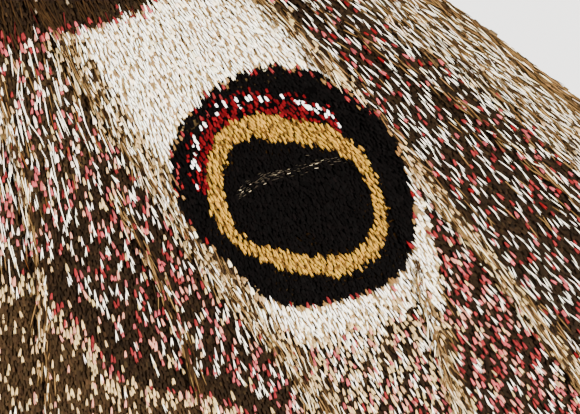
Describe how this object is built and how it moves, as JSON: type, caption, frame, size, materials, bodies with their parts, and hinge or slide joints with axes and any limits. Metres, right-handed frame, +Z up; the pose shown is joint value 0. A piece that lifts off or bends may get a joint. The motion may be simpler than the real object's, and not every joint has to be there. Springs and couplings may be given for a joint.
{
  "type": "emperor moth model",
  "caption": "Life-size still model of a female emperor moth at rest, wings spread flat with an eyespot on each, standing on its feet.",
  "frame": {"origin": "middle of the box's underside, on the surface that the feet stand on", "axes": "+X towards the moth's left wing tip, the head looks along -Y, +Z up"},
  "size_m": [0.0738, 0.0393, 0.0095],
  "materials": {
    "fur": "soft",
    "eye": "gloss",
    "feeler": "matte",
    "leg": "soft",
    "forewing": "soft",
    "hindwing": "soft"
  },
  "bodies": {
    "root": {"head": "fur", "thorax": "fur", "abdomen": "fur", "eye_left": "eye", "eye_right": "eye", "antenna_left": "feeler", "antenna_right": "feeler", "forewing_left": "forewing", "forewing_right": "forewing", "hindwing_left": "hindwing", "hindwing_right": "hindwing", "leg_front_left": "leg", "leg_front_right": "leg", "leg_middle_left": "leg", "leg_middle_right": "leg", "leg_hind_left": "leg", "leg_hind_right": "leg"}
  },
  "joints": []
}
